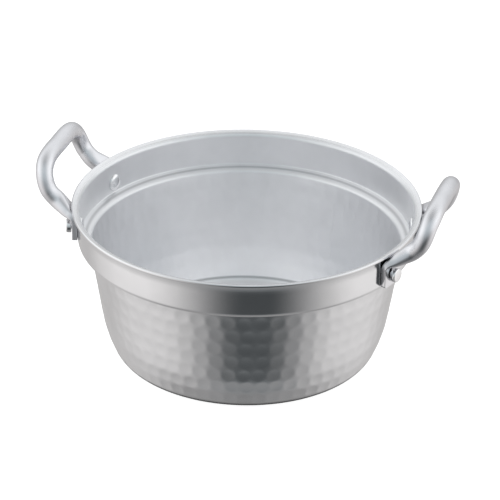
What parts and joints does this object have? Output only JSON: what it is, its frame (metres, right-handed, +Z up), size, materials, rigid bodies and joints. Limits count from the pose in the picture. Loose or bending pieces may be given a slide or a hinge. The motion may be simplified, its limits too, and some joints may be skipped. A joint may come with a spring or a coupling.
{
  "type": "stock pot",
  "caption": "Low wide cooking pot in hammered aluminium, with a stepped collar, a flared rim, cast loop handles held by rivets, and a flat base.",
  "frame": {"origin": "centre of the base's underside, on the pot's axis", "axes": "+Z up along the pot's axis; +X through the middle of the right handle; +Y towards the back"},
  "size_m": [0.376, 0.316, 0.1884],
  "materials": {
    "hammered_sheet": "satin anodised sheet, hammered on the body, smooth on the collar",
    "cast_handle": "satin polished casting",
    "rivet_metal": "smooth pressed aluminium"
  },
  "bodies": {
    "root": {"pot_body": "hammered_sheet", "handle_right": "cast_handle", "handle_left": "cast_handle", "rivet_right_front": "rivet_metal", "rivet_right_back": "rivet_metal", "rivet_left_front": "rivet_metal", "rivet_left_back": "rivet_metal"}
  },
  "joints": []
}
